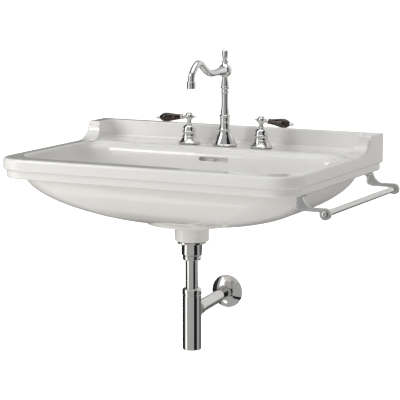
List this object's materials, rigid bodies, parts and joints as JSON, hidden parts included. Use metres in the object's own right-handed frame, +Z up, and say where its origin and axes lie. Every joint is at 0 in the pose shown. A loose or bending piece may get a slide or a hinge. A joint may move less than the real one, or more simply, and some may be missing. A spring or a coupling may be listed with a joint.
{
  "type": "wall-hung washbasin",
  "caption": "Wall-hung ceramic washbasin with a widespread chrome tap, dark marbled lever grips, bottle trap and side towel rail.",
  "frame": {"origin": "on the wall plane, midway between the two wall bolts", "axes": "+X along the wall towards the towel rail, +Y into the wall, +Z up"},
  "size_m": [0.8615, 0.55, 0.7375],
  "materials": {
    "glazed_ceramic": "gloss",
    "chrome": "polished",
    "satin_bracket": "satin",
    "marbled_grip": "gloss",
    "brass": "satin",
    "zinc_steel": "satin",
    "rubber": "matte",
    "white_plastic": "satin"
  },
  "bodies": {
    "root": {"basin": "glazed_ceramic", "plug_cartridge": "white_plastic", "waste_body": "chrome", "waste_top_seal": "rubber", "waste_back_seal": "rubber", "waste_nut": "chrome", "tail_nut": "chrome", "tail_seal": "rubber", "tail_tube": "chrome", "trap_top_nut": "chrome", "trap_top_seal": "rubber", "trap_body": "chrome", "trap_bottom_cap": "chrome", "trap_cap_seal": "rubber", "outlet_pipe": "chrome", "outlet_seal": "rubber", "spout_column": "chrome", "spout_base_gasket": "rubber", "spout_shank": "brass", "spout_clamp_seal": "rubber", "spout_clamp_washer": "zinc_steel", "spout_lock_nut": "brass", "valve_gaskets": "rubber", "valve_clamp_seals": "rubber", "valve_clamp_washers": "zinc_steel", "valve_lock_nuts": "brass", "rail_front_bracket": "satin_bracket", "rail_back_bracket": "satin_bracket", "rail_bar": "chrome", "rail_end_caps": "satin_bracket", "rail_fixing_screws": "zinc_steel", "hot_bell": "chrome", "hot_valve_body": "brass", "hot_cartridge": "brass", "cold_bell": "chrome", "cold_valve_body": "brass", "cold_cartridge": "brass"},
    "spout": {"spout": "chrome", "spout_finial": "chrome", "spout_seals": "rubber", "aerator_ring": "chrome", "aerator_insert": "white_plastic"},
    "hot_handle": {"hot_spindle": "brass", "hot_hub": "chrome", "hot_cap": "chrome", "hot_collar": "chrome", "hot_lever": "marbled_grip", "hot_tip": "chrome"},
    "cold_handle": {"cold_spindle": "brass", "cold_hub": "chrome", "cold_cap": "chrome", "cold_collar": "chrome", "cold_lever": "marbled_grip", "cold_tip": "chrome"},
    "plug": {"waste_plug": "chrome", "plug_seal": "rubber"},
    "flange": {"wall_flange": "chrome"}
  },
  "joints": [
    {"name": "spout_swivel", "type": "hinge", "parent": "root", "child": "spout", "pos_m": [0, -0.08, 0.189], "axis": [0, 0, 1], "range_deg": [-60, 60]},
    {"name": "hot_turn", "type": "hinge", "parent": "root", "child": "hot_handle", "pos_m": [-0.102, -0.08, 0.106], "axis": [0, 0, 1], "range_deg": [0, 90]},
    {"name": "cold_turn", "type": "hinge", "parent": "root", "child": "cold_handle", "pos_m": [0.102, -0.08, 0.106], "axis": [0, 0, 1], "range_deg": [-90, 0]},
    {"name": "plug_press", "type": "slide", "parent": "root", "child": "plug", "axis": [0, 0, 1], "range_m": [-0.008, 0]},
    {"name": "flange_slide", "type": "slide", "parent": "root", "child": "flange", "axis": [0.1132, -0.9936, 0], "range_m": [0, 0.12]}
  ]
}
